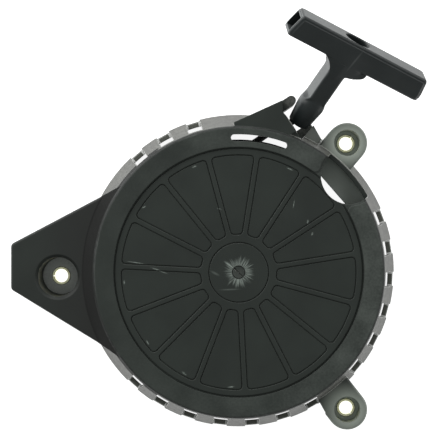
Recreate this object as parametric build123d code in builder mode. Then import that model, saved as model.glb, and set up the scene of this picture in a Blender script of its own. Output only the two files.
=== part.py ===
from build123d import *
import os
from math import atan2, cos, degrees, hypot, radians, sin

# Recoil starter for a small engine.
# Millimetres, +Z up. The origin is on the pulley axis, in the plane of the mounting face.
# The engine side looks down (-Z) and the closed face of the housing looks up (+Z).

# ---------------------------------------------------------------- driving sizes
# Housing: a flared dish, open towards the engine.
housing_height = 30.0
ring_radius = 73.0
base_radius = 80.8
wall = 2.4
disc_radius = 62.7
disc_drop = 0.8
ceiling = 2.2
ring_edge_radius = 1.2
edge_groove_width = 0.9
edge_groove_depth = 0.7

# Sector panels on the face.
panel_count = 15
panel_start_angle = 81.0
panel_inner_radius = 19.3
panel_outer_radius = 58.5
spoke_width = 3.2
panel_corner = 1.7
panel_depth = 0.35
outline_width = 0.55
outline_depth = 0.8
hub_groove_radius = 14.7

# Cooling windows in the flared wall, by angle in degrees.
window_pitch = 12.0
window_width = 7.2
window_bottom = 6.0
window_top = 26.5
window_groups = [(-39.0, 6), (-132.8, 7), (107.0, 3)]
sill_recess = 1.1

# Mounting points: one at the tip of the wing and two on lugs.
wing_hole_x = -91.0
lug_hole_x = 55.4
lug_hole_spacing = 135.8
holes_centre_y = -2.4
sleeve_inner_radius = 3.5
sleeve_wall = 1.2
sleeve_length = 6.1
sleeve_slit = 0.5
sleeve_chamfer = 0.25
seat_thickness = 5.6
wing_height = 26.0
wing_well_radius = 10.0
wing_well_draft = 0.5
wing_well_rim = 1.4
wing_edge = 1.2
wing_tip_reach = 23.5
wing_tip_radius = 2.5
lug_height = 16.0
lug_radius = 10.2
lug_well_radius = 6.6
lug_edge = 0.8
lug_root_length = 24.0

# Notch over the shelf.
notch_radius = 14.2
notch_reach = 73.5
notch_angle = 41.1
notch_floor = 17.0
notch_rim = 1.0
ring_end_corner = 2.6
shelf_reach = 64.0
shelf_width = 33.0
shelf_bottom = 8.6
shelf_thickness = 2.2

# Slot in the ring, and the low guard below it.
slot_inner_radius = 65.7
slot_outer_radius = 69.2
slot_start_angle = 69.0
slot_end_angle = 93.3
guard_radius = 66.0
guard_wall = 1.6
guard_height = 7.5
guard_overlap = 2.5

# Spring housing and centre post under the face.
spring_room_radius = 38.2
spring_room_wall = 2.0
spring_room_floor = 18.8
post_radius = 9.0
post_end = 8.2
rib_count = 5
rib_width = 1.8
rib_depth = 4.0

# Rope and its way out.
rope_diameter = 3.5
rope_height = 13.9
rope_turn_gap = 0.1
rope_half_turns = 7
rope_radius = 49.6
exit_angle = 34.3
exit_face = 63.6
exit_bottom = 2.0
horn_height = 29.0
cheek_height = 18.0
left_cheek_height = 21.0
mouth_reach = 73.3
mouth_left = 54.2
mouth_right = 37.2
mouth_right_lip = 39.8
ledge_side = 42.5
ledge_top = 8.0
cheek_left_back = 59.1
back_wall = 3.0
lip_radius = 2.4
eyelet_side = 47.6
eyelet_hole_radius = 4.2
eyelet_wall = 1.0
eyelet_flange = 0.9
eyelet_flange_thickness = 1.0
eyelet_length = 6.4
eyelet_rounding = 0.6

# Pulley.
running_clearance = 0.05
flange_radius = 53.2
flange_thickness = 1.8
groove_room = 0.7
drum_gap = 2.05
drum_wall = 2.6
rope_opening = 6.5
pulley_web = 1.9
pulley_hub_wall = 3.3
pulley_hub_bottom = 8.5
pulley_hub_top = 26.5
pulley_rib_count = 6
pulley_rib_width = 2.0

# Rewind spring.
strip_thickness = 0.5
strip_bottom = 19.3
strip_top = 26.3
strip_pitch = 2.38
strip_half_turns = 21
hook_clearance = 0.4
strip_hub_gap = 0.6
hook_end_reach = 1.0
hook_reach = 1.6

# Pawls, guide plate, friction spring, washer and screw.
pawl_circle_radius = 24.0
pawl_pin_radius = 2.5
pawl_bottom = 5.5
pawl_gap = 0.3
pawl_length = 13.5
pawl_tip_width = 4.0
pawl_eye_radius = 4.8
pawl_rest_angle = -100.0
pawl_swing = 38.0
follower_radius = 1.2
follower_arm = 6.4
follower_lag = -25.0
guide_bottom = 3.6
guide_thickness = 1.6
guide_radius = 29.5
guide_swing = 28.0
guide_slot_clearance = 0.45
shoulder_radius = 4.2
guide_clearance = 0.08
washer_thickness = 0.8
washer_radius = 11.6
screw_radius = 3.2
screw_head_radius = 6.4
screw_head_height = 2.4
screw_head_edge = 0.6
screw_head_gap = 0.4
screw_tip_edge = 0.3
screw_tip_drop = 0.2
screw_socket_share = 0.8
screw_clearance = 0.05
screw_slot_width = 0.8
screw_slot_angle = -45.0
friction_wire = 1.1
pawl_spring_wire = 0.7
pawl_spring_radius = 3.6
pawl_spring_height = 1.6
pawl_spring_room = 0.5
pawl_spring_gap = 0.35
pawl_spring_lift = 0.05
pawl_boss_wall = 1.6
pawl_pin_end_gap = 0.1
follower_end_gap = 0.2
friction_gap_angle = 30.0
friction_leg = 6.0
pip_reach = 9.0
pip_angle = 19.0
pip_radius = 1.0

# Handle. Its own directions: along the stem, along the bar, and towards its front face.
nose_reach = 67.8
nose_side = 45.4
nose_height = 14.8
stem_azimuth = 55.4
stem_rise = 24.4
bar_roll = 22.3
handle_length = 53.4
bar_thickness = 12.4
bar_depth = 12.6
bar_outer_length = 75.0
bar_inner_length = 79.5
bar_offset = 5.5
bar_edge = 1.4
bar_pocket_wall = 2.2
bar_pocket_depth = 20.0
web_flare = 8.5
stem_width = 9.4
stem_depth = 12.0
nose_radius = 7.0
nose_tip_radius = 5.5
nose_length = 14.5
nose_bore_radius = 4.6
stem_bore_radius = 2.2
knot_room_length = 13.6
knot_room_width = 8.8
knot_room_depth = 9.0
knot_radius = 3.6
drum_knot_radius = 2.8
drum_knot_gap = 0.2
knot_washer_radius = 4.1
knot_washer_thickness = 1.0
knot_washer_clearance = 0.15

# Cuts and joined solids run this far past the face they meet.
overrun = 0.5

os.makedirs("parts", exist_ok=True)


def along(radius, angle, height=0.0):
    """The point at a radius and an angle in degrees about the pulley axis."""
    return (radius * cos(radians(angle)), radius * sin(radians(angle)), height)


def exit_point(reach, side, height=0.0):
    """A point of the exit's own grid: reach runs out along the rope, side to its left."""
    c = cos(radians(exit_angle))
    s = sin(radians(exit_angle))
    return (reach * c - side * s, reach * s + side * c, height)


def flat_exit_points(points):
    """Outline points given on the exit's own grid, as plane points."""
    return [exit_point(reach, side)[:2] for reach, side in points]


# ---------------------------------------------------------------- derived sizes
disc_top = housing_height - disc_drop
underside = disc_top - ceiling
wall_slope = (base_radius - ring_radius) / housing_height
rope_radius_section = rope_diameter / 2
rope_turn_pitch = rope_diameter + rope_turn_gap
groove_width = rope_diameter + groove_room
drum_end_reach = rope_radius - (rope_half_turns - 1) * rope_turn_pitch / 2
drum_radius = drum_end_reach - rope_radius_section - drum_gap
groove_bottom = rope_height - groove_width / 2
groove_top = rope_height + groove_width / 2
pulley_bottom = groove_bottom - flange_thickness
pulley_top = groove_top + flange_thickness
pawl_top = pulley_bottom - pawl_gap
hub_bore_radius = post_radius + running_clearance
hub_radius = post_radius + pulley_hub_wall
sleeve_radius = sleeve_inner_radius + sleeve_wall
guide_top = guide_bottom + guide_thickness
washer_bottom = post_end - washer_thickness
lug_places = [
    (lug_hole_x, holes_centre_y + lug_hole_spacing / 2),
    (lug_hole_x, holes_centre_y - lug_hole_spacing / 2),
]
wing_place = (wing_hole_x, holes_centre_y)

# The wing's outline, from its upper root round its blunt tip to its lower root.
wing_outline = [
    (-40.0, 53.4),
    (wing_hole_x - wing_tip_reach, 14.1),
    (wing_hole_x - wing_tip_reach, -8.7),
    (-67.2, -37.6),
    (-40.0, -55.8),
]


# The handle's own directions and planes.
stem_direction = Vector(
    cos(radians(stem_rise)) * cos(radians(stem_azimuth)),
    cos(radians(stem_rise)) * sin(radians(stem_azimuth)),
    sin(radians(stem_rise)),
)
level_direction = Vector(-sin(radians(stem_azimuth)), cos(radians(stem_azimuth)), 0)
bar_direction = level_direction.rotate(Axis((0, 0, 0), stem_direction), bar_roll)
nose_point = Vector(*exit_point(nose_reach, nose_side, nose_height))
stem_plane = Plane(origin=nose_point, x_dir=bar_direction, z_dir=stem_direction)
bar_plane = Plane(origin=nose_point, x_dir=bar_direction, z_dir=bar_direction.cross(stem_direction))
stem_axis = Axis(nose_point, stem_direction)

# The rope's corners, from the drum to the knot in the handle, and the radii of its bends.
rope_start = exit_point(0, rope_radius, rope_height)
eyelet_bend = exit_point(57.0, rope_radius, rope_height)
nose_bend = exit_point(66.4, 47.2, rope_height + 0.3)
rope_split = Vector(*eyelet_bend) + (Vector(*nose_bend) - Vector(*eyelet_bend)) * 0.45
stem_bend = nose_point + stem_direction * 11.0
rope_end = nose_point + stem_direction * (handle_length - knot_room_depth + knot_washer_thickness + 2)
eyelet_bend_radius = 16.0
nose_bend_radius = 14.0
stem_bend_radius = 22.0

# Where the rope leaves the groove for its knot inside the drum.
drum_end_angle = exit_angle + 90 + 180 * rope_half_turns
rope_end_bend = 6.5
rope_end_run = 3.5
drum_knot_reach = drum_end_reach - rope_end_bend - rope_end_run
bend_end_turn = degrees(atan2(rope_end_bend, drum_end_reach - rope_end_bend))
knot_turn = degrees(atan2(rope_end_bend, drum_knot_reach))


def wall_radius(height):
    """The outer radius of the flared wall at a height."""
    return base_radius - wall_slope * height


# ---------------------------------------------------------------- housing
# Solid dish, before it is hollowed: used whole to trim what is built against it.
with BuildPart() as dish:
    with BuildSketch(Plane.XZ):
        with BuildLine():
            edge_x = ring_radius - ring_edge_radius
            Polyline((0, 0), (0, disc_top), (disc_radius, disc_top), (disc_radius, housing_height))
            Line((disc_radius, housing_height), (edge_x, housing_height))
            TangentArc(
                (edge_x, housing_height),
                (wall_radius(housing_height - ring_edge_radius), housing_height - ring_edge_radius),
                tangent=(1, 0),
            )
            Polyline(
                (wall_radius(housing_height - ring_edge_radius), housing_height - ring_edge_radius),
                (base_radius, 0),
                (0, 0),
            )
        make_face()
    revolve(axis=Axis.Z)

with BuildPart() as dish_room:
    with BuildSketch(Plane.XZ):
        with BuildLine():
            inner_base = base_radius - wall
            inner_top = inner_base - wall_slope * underside
            Polyline(
                (0, -1),
                (inner_base + wall_slope, -1),
                (inner_top, underside),
                (0, underside),
                (0, -1),
            )
        make_face()
    revolve(axis=Axis.Z)

# Wing: a plate on side walls, hollow below, with a deep well for its bolt.
with BuildPart() as wing:
    with BuildSketch():
        Polygon(*wing_outline, align=None)
    extrude(amount=wing_height)
    tip_edges = wing.edges().filter_by(Axis.Z).group_by(Axis.X)[0]
    fillet(tip_edges, wing_tip_radius)
    fillet(wing.faces().sort_by(Axis.Z)[-1].outer_wire().edges(), wing_edge)

with BuildPart() as wing_root:
    with BuildSketch(Plane.XZ):
        with BuildLine():
            Polyline(
                (ring_radius - 3, wing_height - 1),
                (ring_radius - 3, housing_height),
                (edge_x, housing_height),
                (wall_radius(wing_height) + 5, wing_height - 0.6),
                (ring_radius - 3, wing_height - 1),
            )
        make_face()
    revolve(axis=Axis.Z)
    with BuildSketch():
        Polygon(*wing_outline, align=None)
    extrude(amount=housing_height, mode=Mode.INTERSECT)

with BuildPart() as wing_well:
    with BuildSketch(Plane.XZ.offset(-holes_centre_y)):
        with BuildLine():
            well_bottom = wing_well_radius - wing_well_draft
            Polyline(
                (wing_hole_x, seat_thickness),
                (wing_hole_x + well_bottom, seat_thickness),
                (wing_hole_x + wing_well_radius, wing_height - wing_well_rim),
                (wing_hole_x + wing_well_radius + wing_well_rim, wing_height + 0.01),
                (wing_hole_x, wing_height + 0.01),
                (wing_hole_x, seat_thickness),
            )
        make_face()
    revolve(axis=Axis((wing_hole_x, holes_centre_y, 0), (0, 0, 1)))

with BuildPart() as wing_room:
    with BuildSketch(Plane.XY.offset(-1)):
        Polygon(*wing_outline, align=None)
        offset(amount=-wall, kind=Kind.INTERSECTION)
    extrude(amount=wing_height - wall + 1)
    with BuildSketch(Plane.XY.offset(-1)):
        with Locations(wing_place):
            Circle(wing_well_radius + wall)
    extrude(amount=wing_height + 1, mode=Mode.SUBTRACT)
    add(dish.part, mode=Mode.SUBTRACT)
    with BuildSketch(Plane.XY.offset(-1)):
        Circle(base_radius)
    extrude(amount=1, mode=Mode.SUBTRACT)

# Lugs: rounded ears that run radially into the wall.
with BuildPart() as lugs:
    for place in lug_places:
        reach = hypot(*place)
        turn = degrees(atan2(place[1], place[0]))
        with BuildSketch():
            with Locations(Location((0, 0, 0), (0, 0, turn))):
                with Locations((reach, 0)):
                    Circle(lug_radius)
                with Locations((reach, 0)):
                    Rectangle(lug_root_length, 2 * lug_radius, align=(Align.MAX, Align.CENTER))
        extrude(amount=lug_height)
    chamfer(lugs.faces().filter_by(Axis.Z).group_by(Axis.Z)[-1].edges(), lug_edge)

# Rope exit: a horn-shaped cover, a block for the eyelet and two cheeks that form the mouth.
# Outlines are on the exit's own grid: reach out along the rope, then the side to its left.
horn_outline = [
    (36.0, 56.0),
    (40.4, 63.4),
    (exit_face + 3.0, cheek_left_back - 0.2),
    (exit_face, mouth_left),
    (exit_face, 42.3),
    (exit_face - 12, 42.3),
]
block_outline = [
    (44.0, 56.0),
    (50.0, 61.2),
    (exit_face, cheek_left_back),
    (exit_face, mouth_right),
    (exit_face - 12, mouth_right),
]
right_cheek_outline = [
    (exit_face - 8, 30.0),
    (exit_face - 8, mouth_right),
    (exit_face, mouth_right),
    (mouth_reach, mouth_right_lip),
    (mouth_reach - 0.7, 31.6),
]
ledge_outline = [
    (exit_face, mouth_right),
    (mouth_reach, mouth_right_lip),
    (mouth_reach, ledge_side),
    (exit_face, ledge_side),
]
mouth_outline = [
    (exit_face, mouth_right),
    (mouth_reach, mouth_right_lip),
    (mouth_reach + 2 * lip_radius, mouth_right_lip + 1),
    (mouth_reach + 2 * lip_radius, mouth_left),
    (exit_face, mouth_left),
]
back_outline = [
    (exit_face - back_wall, mouth_right),
    (exit_face, mouth_right),
    (exit_face, cheek_left_back),
    (exit_face - back_wall, cheek_left_back),
]
lip_centre = (mouth_reach - lip_radius, mouth_left + lip_radius)
with BuildPart() as rope_exit:
    with BuildSketch():
        Polygon(*flat_exit_points(horn_outline), align=None)
    extrude(amount=horn_height)
    with BuildSketch():
        Polygon(*flat_exit_points(block_outline), align=None)
        Polygon(*flat_exit_points(right_cheek_outline), align=None)
    extrude(amount=cheek_height)
    with BuildSketch():
        with Locations(exit_point(*lip_centre)):
            Circle(lip_radius)
        with BuildLine():
            Polyline(
                *flat_exit_points(
                    [
                        (exit_face - 2, mouth_left),
                        (lip_centre[0], mouth_left),
                        (lip_centre[0], mouth_left + 2 * lip_radius),
                        (exit_face - 2, cheek_left_back),
                        (exit_face - 2, mouth_left),
                    ]
                )
            )
        make_face()
    extrude(amount=left_cheek_height)
    with BuildSketch():
        Circle(2 * base_radius)
    extrude(amount=exit_bottom, mode=Mode.SUBTRACT)

eyelet_axis = Plane(
    origin=exit_point(exit_face, eyelet_side, rope_height),
    x_dir=(0, 0, 1),
    z_dir=exit_point(1, 0),
)

# Panels, their outlines and the spokes between them.
with BuildSketch(Plane.XY.offset(disc_top)) as panels:
    Circle(panel_outer_radius)
    Circle(panel_inner_radius, mode=Mode.SUBTRACT)
    with PolarLocations(0, panel_count, start_angle=panel_start_angle):
        Rectangle(ring_radius, spoke_width, align=(Align.MIN, Align.CENTER), mode=Mode.SUBTRACT)
    fillet(panels.vertices(), panel_corner)
with BuildSketch(Plane.XY.offset(disc_top)) as outlines:
    add(panels.sketch)
    offset(amount=outline_width, kind=Kind.ARC)
    add(panels.sketch, mode=Mode.SUBTRACT)

# The raised ring stops short of the notch, with rounded ends. What is left out is cut away.
with BuildSketch(Plane.XY.offset(disc_top)) as raised_ring:
    Circle(base_radius)
    Circle(disc_radius, mode=Mode.SUBTRACT)
    with Locations(along(notch_reach, notch_angle)):
        Circle(notch_radius + notch_rim, mode=Mode.SUBTRACT)
    inner_corners = raised_ring.vertices().filter_by(lambda v: hypot(v.X, v.Y) < ring_radius)
    fillet(inner_corners, ring_end_corner)
with BuildSketch(Plane.XY.offset(disc_top)) as ring_gap:
    Circle(base_radius)
    Circle(disc_radius, mode=Mode.SUBTRACT)
    add(raised_ring.sketch, mode=Mode.SUBTRACT)

with BuildPart() as housing:
    add(dish.part)
    add(ring_gap.sketch)
    extrude(amount=disc_drop + overrun, mode=Mode.SUBTRACT)
    add(wing.part)
    add(wing_root.part)
    add(lugs.part)
    add(rope_exit.part)
    add(dish_room.part, mode=Mode.SUBTRACT)
    add(wing_room.part, mode=Mode.SUBTRACT)
    add(wing_well.part, mode=Mode.SUBTRACT)
    # Wells and sleeve seats.
    with BuildSketch(Plane.XY.offset(seat_thickness)):
        with Locations(*lug_places):
            Circle(lug_well_radius)
    extrude(amount=lug_height, mode=Mode.SUBTRACT)
    with BuildSketch():
        with Locations(wing_place, *lug_places):
            Circle(sleeve_radius)
    extrude(amount=seat_thickness, mode=Mode.SUBTRACT)
    # Wall behind the eyelet, the mouth cut clear between the cheeks, and the ledge at its foot.
    with BuildSketch(Plane.XY.offset(exit_bottom)):
        Polygon(*flat_exit_points(back_outline), align=None)
    extrude(amount=underside - exit_bottom)
    with BuildSketch():
        Polygon(*flat_exit_points(mouth_outline), align=None)
    extrude(amount=housing_height, mode=Mode.SUBTRACT)
    with BuildSketch(Plane.XY.offset(exit_bottom)):
        Polygon(*flat_exit_points(ledge_outline), align=None)
    extrude(amount=ledge_top - exit_bottom)
    # Spring housing, centre post and ribs under the face.
    with BuildSketch(Plane.XY.offset(spring_room_floor)):
        Circle(spring_room_radius + spring_room_wall)
        Circle(spring_room_radius, mode=Mode.SUBTRACT)
    extrude(until=Until.NEXT)
    with BuildSketch(Plane.XY.offset(post_end)):
        Circle(post_radius)
    extrude(until=Until.NEXT)
    with BuildSketch(Plane.XY.offset(underside - rib_depth)):
        rib_start = spring_room_radius + spring_room_wall / 2
        with PolarLocations(0, rib_count, start_angle=panel_start_angle):
            with Locations((rib_start, 0)):
                Rectangle(
                    ring_radius - wall - rib_start,
                    rib_width,
                    align=(Align.MIN, Align.CENTER),
                )
    extrude(amount=rib_depth + ceiling / 2)
    # Slot for the spring's outer hook, and the hole for the centre screw.
    with BuildSketch(Plane.XY.offset(spring_room_floor)):
        with Locations((-spring_room_radius - spring_room_wall / 2, -strip_thickness / 2)):
            Rectangle(2 * spring_room_wall, strip_thickness + 2 * hook_clearance)
    extrude(amount=strip_top + hook_clearance - spring_room_floor, mode=Mode.SUBTRACT)
    with BuildSketch(Plane.XY.offset(post_end)):
        Circle(screw_radius + screw_clearance)
    extrude(amount=housing_height, mode=Mode.SUBTRACT)
    # Face relief: sunk panels, their outlines, the hub groove and the edge groove.
    add(panels.sketch)
    extrude(amount=-panel_depth, mode=Mode.SUBTRACT)
    add(outlines.sketch)
    extrude(amount=-outline_depth, mode=Mode.SUBTRACT)
    with BuildSketch(Plane.XY.offset(disc_top)):
        Circle(disc_radius)
        Circle(disc_radius - edge_groove_width, mode=Mode.SUBTRACT)
        Circle(hub_groove_radius + outline_width)
        Circle(hub_groove_radius, mode=Mode.SUBTRACT)
    extrude(amount=-edge_groove_depth, mode=Mode.SUBTRACT)
    # Low guard below the slot, and the shelf below the notch.
    with BuildSketch():
        guard_start = slot_start_angle - guard_overlap
        guard_sweep = slot_end_angle + guard_overlap - guard_start
        Circle(guard_radius + guard_wall)
        Circle(guard_radius, mode=Mode.SUBTRACT)
        with Locations(Location((0, 0, 0), (0, 0, guard_start + guard_sweep / 2))):
            Rectangle(
                ring_radius,
                2 * guard_radius * sin(radians(guard_sweep / 2)),
                align=(Align.MIN, Align.CENTER),
                mode=Mode.INTERSECT,
            )
        with PolarLocations(guard_radius + guard_wall / 2, 2, guard_start, guard_sweep, endpoint=True):
            Rectangle(
                wall_radius(guard_height) - wall / 2 - guard_radius - guard_wall / 2,
                guard_wall,
                align=(Align.MIN, Align.CENTER),
            )
    extrude(amount=guard_height)
    with BuildSketch(Plane.XY.offset(shelf_bottom)):
        with Locations(Location((0, 0, 0), (0, 0, notch_angle))):
            Rectangle(wall_radius(shelf_bottom), shelf_width, align=(Align.MIN, Align.CENTER))
            Rectangle(shelf_reach, 2 * shelf_width, align=(Align.MIN, Align.CENTER), mode=Mode.SUBTRACT)
        Circle(wall_radius(shelf_bottom) - wall / 2, mode=Mode.INTERSECT)
    extrude(amount=shelf_thickness)
    # Notch and slot.
    with BuildSketch(Plane.XY.offset(notch_floor)):
        with Locations(along(notch_reach, notch_angle)):
            Circle(notch_radius)
    extrude(amount=housing_height, mode=Mode.SUBTRACT)
    with BuildSketch(Plane.XY.offset(underside - rib_depth)):
        slot_middle = (slot_inner_radius + slot_outer_radius) / 2
        slot_width = slot_outer_radius - slot_inner_radius
        slot_end_turn = degrees(slot_width / 2 / slot_middle)
        slot_path = CenterArc(
            (0, 0),
            slot_middle,
            slot_start_angle + slot_end_turn,
            slot_end_angle - slot_start_angle - 2 * slot_end_turn,
            mode=Mode.PRIVATE,
        )
        SlotArc(slot_path, slot_width)
    extrude(amount=housing_height, mode=Mode.SUBTRACT)
    # Cooling windows and the recessed sills below them.
    for first_angle, count in window_groups:
        for step in range(count):
            turn = first_angle + step * window_pitch
            with BuildSketch(Plane.XY.offset(window_bottom)):
                with Locations(Location(along(ring_radius - 2 * wall, turn), (0, 0, turn))):
                    Rectangle(4 * wall + base_radius - ring_radius, window_width, align=(Align.MIN, Align.CENTER))
            extrude(amount=window_top - window_bottom, mode=Mode.SUBTRACT)
            with BuildSketch():
                sill_reach = base_radius - sill_recess
                with Locations(Location(along(sill_reach, turn), (0, 0, turn))):
                    Rectangle(4 * wall, window_width, align=(Align.MIN, Align.CENTER))
            extrude(amount=window_bottom, mode=Mode.SUBTRACT)
    # Way out for the rope.
    with BuildSketch(eyelet_axis):
        Circle(eyelet_hole_radius + eyelet_wall)
    extrude(amount=-(exit_face - ring_radius / 2), mode=Mode.SUBTRACT)

housing.part.label = "housing"
export_step(housing.part, "parts/housing.step")


# ---------------------------------------------------------------- sleeves in the mounting holes
sleeve_places = {"sleeve_left": wing_place, "sleeve_upper": lug_places[0], "sleeve_lower": lug_places[1]}
for sleeve_name, place in sleeve_places.items():
    with BuildPart() as sleeve:
        with BuildSketch():
            with Locations(place):
                Circle(sleeve_radius)
                Circle(sleeve_inner_radius, mode=Mode.SUBTRACT)
        extrude(amount=sleeve_length)
        chamfer(sleeve.edges().filter_by(GeomType.CIRCLE), sleeve_chamfer)
        slit_turn = degrees(atan2(place[1], place[0]))
        with BuildSketch():
            with Locations(Location((*place, 0), (0, 0, slit_turn))):
                Rectangle(2 * sleeve_radius, sleeve_slit, align=(Align.MIN, Align.CENTER))
        extrude(amount=sleeve_length, mode=Mode.SUBTRACT)
    sleeve.part.label = sleeve_name
    export_step(sleeve.part, f"parts/{sleeve_name}.step")


# ---------------------------------------------------------------- rope eyelet
with BuildPart() as rope_eyelet:
    with BuildSketch(eyelet_axis):
        Circle(eyelet_hole_radius + eyelet_wall + eyelet_flange)
    extrude(amount=eyelet_flange_thickness)
    with BuildSketch(eyelet_axis):
        Circle(eyelet_hole_radius + eyelet_wall)
    extrude(amount=-eyelet_length)
    with BuildSketch(eyelet_axis.offset(eyelet_flange_thickness)):
        Circle(eyelet_hole_radius)
    extrude(amount=-eyelet_length - eyelet_flange_thickness, mode=Mode.SUBTRACT)
    mouth_edges = rope_eyelet.edges().filter_by(GeomType.CIRCLE)
    fillet(mouth_edges.filter_by(lambda e: abs(e.radius - eyelet_hole_radius) < 0.01), eyelet_rounding)
rope_eyelet.part.label = "rope_eyelet"
export_step(rope_eyelet.part, "parts/rope_eyelet.step")


# ---------------------------------------------------------------- rewind spring
# A flat strip wound in half turns whose centres alternate, hooked at both ends.
spring_start_radius = hub_radius + strip_hub_gap
half_step = strip_pitch / 2
with BuildPart() as rewind_spring:
    with BuildSketch(Plane.XY.offset(strip_bottom)):
        for turn in range(strip_half_turns):
            radius = spring_start_radius + strip_thickness + turn * half_step
            centre = (half_step / 2, 0) if turn % 2 else (-half_step / 2, 0)
            with BuildLine():
                CenterArc(centre, radius, 180 * (turn % 2), 180)
                CenterArc(centre, radius - strip_thickness, 180 * (turn % 2), 180)
                for side in (-1, 1):
                    rim_x = centre[0] + side * radius
                    Line((rim_x, 0), (rim_x - side * strip_thickness, 0))
            make_face()
        inner_end = spring_start_radius + strip_thickness - half_step / 2
        with Locations((inner_end, 0)):
            Rectangle(
                inner_end - hub_radius + hook_reach,
                strip_thickness,
                align=(Align.MAX, Align.MAX),
            )
        outer_end = half_step / 2 + spring_start_radius + (strip_half_turns - 1) * half_step
        with Locations((-outer_end, 0)):
            Rectangle(
                spring_room_radius + spring_room_wall + hook_end_reach - outer_end,
                strip_thickness,
                align=(Align.MAX, Align.MAX),
            )
    extrude(amount=strip_top - strip_bottom)
rewind_spring.part.label = "rewind_spring"
export_step(rewind_spring.part, "parts/rewind_spring.step")


# ---------------------------------------------------------------- pulley
with BuildPart() as pulley:
    with BuildSketch(Plane.XZ):
        with BuildLine():
            Polyline(
                (hub_bore_radius, pulley_hub_bottom),
                (hub_bore_radius, pulley_hub_top),
                (hub_radius, pulley_hub_top),
                (hub_radius, pulley_top),
                (flange_radius, pulley_top),
                (flange_radius, groove_top),
                (drum_radius, groove_top),
                (drum_radius, groove_bottom),
                (flange_radius, groove_bottom),
                (flange_radius, pulley_bottom),
                (drum_radius - drum_wall, pulley_bottom),
                (drum_radius - drum_wall, pulley_top - pulley_web),
                (hub_radius, pulley_top - pulley_web),
                (hub_radius, pulley_hub_bottom),
                (hub_bore_radius, pulley_hub_bottom),
            )
        make_face()
    revolve(axis=Axis.Z)
    # Ribs below the web, and the two pawl bosses with their pins.
    with BuildSketch(Plane.XY.offset(pulley_bottom)):
        rib_length = drum_radius - drum_wall / 2 - hub_radius
        with PolarLocations(hub_radius - overrun, pulley_rib_count):
            Rectangle(rib_length, pulley_rib_width, align=(Align.MIN, Align.CENTER))
        with PolarLocations(pawl_circle_radius, 2):
            Circle(pawl_eye_radius + pawl_boss_wall)
    extrude(amount=pulley_top - pulley_web - pulley_bottom)
    with BuildSketch(Plane.XY.offset(pulley_bottom)):
        with PolarLocations(pawl_circle_radius, 2):
            Circle(pawl_spring_radius + pawl_spring_wire / 2 + pawl_spring_gap)
            Circle(pawl_pin_radius, mode=Mode.SUBTRACT)
    extrude(amount=pawl_spring_height + pawl_spring_room, mode=Mode.SUBTRACT)
    with BuildSketch(Plane.XY.offset(guide_top + pawl_pin_end_gap)):
        with PolarLocations(pawl_circle_radius, 2):
            Circle(pawl_pin_radius)
    extrude(amount=pulley_top - pulley_web - guide_top - pawl_pin_end_gap)
    # Slot in the hub for the spring's inner hook.
    with BuildSketch(Plane.XY.offset(strip_bottom - hook_clearance)):
        with Locations((hub_radius + overrun, -strip_thickness / 2)):
            Rectangle(
                overrun + hook_reach + hook_clearance,
                strip_thickness + 2 * hook_clearance,
                align=(Align.MAX, Align.CENTER),
            )
    extrude(amount=pulley_hub_top, mode=Mode.SUBTRACT)
    # Opening in the drum for the rope's inner end.
    with BuildSketch(Plane.XY.offset(groove_bottom)):
        with Locations(Location((0, 0, 0), (0, 0, drum_end_angle))):
            with Locations((drum_radius - 2 * drum_wall, rope_end_bend)):
                Rectangle(
                    4 * drum_wall,
                    rope_opening,
                    align=(Align.MIN, Align.CENTER),
                )
        Circle(drum_radius + overrun, mode=Mode.INTERSECT)
    extrude(amount=pulley_top - pulley_web - groove_bottom, mode=Mode.SUBTRACT)
pulley.part.label = "pulley"
export_step(pulley.part, "parts/pulley.step")


# ---------------------------------------------------------------- rope
def rope_along(path):
    """The rope's round body along a path."""
    with BuildPart() as body:
        with BuildSketch(path ^ 0):
            Circle(rope_radius_section)
        sweep(path=path)
    return body


# Turns on the drum: half turns whose centres alternate, then a bend in to the knot.
with BuildLine(Plane.XY.offset(rope_height)) as winding_route:
    for turn in range(rope_half_turns):
        centre = along(rope_turn_pitch / 2 * (turn % 2), exit_angle - 90)
        radius = rope_radius - turn * rope_turn_pitch / 2
        CenterArc(centre, radius, exit_angle + 90 + 180 * turn, 180)
    bend_centre = along(drum_end_reach - rope_end_bend, drum_end_angle)
    CenterArc(bend_centre, rope_end_bend, drum_end_angle, 90)
    bend_end = along(hypot(drum_end_reach - rope_end_bend, rope_end_bend), drum_end_angle + bend_end_turn)
    knot_point = along(hypot(drum_knot_reach, rope_end_bend), drum_end_angle + knot_turn)
    Line(bend_end, knot_point)
rope_winding = rope_along(winding_route.wire())
rope_winding.part.label = "rope_winding"
export_step(rope_winding.part, "parts/rope_winding.step")

with BuildPart(Plane(winding_route.wire() @ 1)) as drum_knot:
    with Locations((0, 0, pulley_bottom + drum_knot_radius + drum_knot_gap - rope_height)):
        Sphere(drum_knot_radius)
drum_knot.part.label = "drum_knot"
export_step(drum_knot.part, "parts/drum_knot.step")

# Straight run from the drum, an easy bend in the eyelet, then into the handle.
with BuildLine() as lead_route:
    FilletPolyline(rope_start, eyelet_bend, rope_split, radius=eyelet_bend_radius)
rope_lead = rope_along(lead_route.wire())
rope_lead.part.label = "rope_lead"
export_step(rope_lead.part, "parts/rope_lead.step")

with BuildLine() as tail_route:
    FilletPolyline(rope_split, nose_bend, stem_bend, rope_end, radius=[nose_bend_radius, stem_bend_radius])
rope_tail = rope_along(tail_route.wire())
rope_tail.part.label = "rope_tail"
export_step(rope_tail.part, "parts/rope_tail.step")


# ---------------------------------------------------------------- pawls and their springs
def about_pivot(distance, angle):
    """A point at a distance and an angle from the first pawl's pivot."""
    return (
        pawl_circle_radius + distance * cos(radians(angle)),
        distance * sin(radians(angle)),
    )


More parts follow.
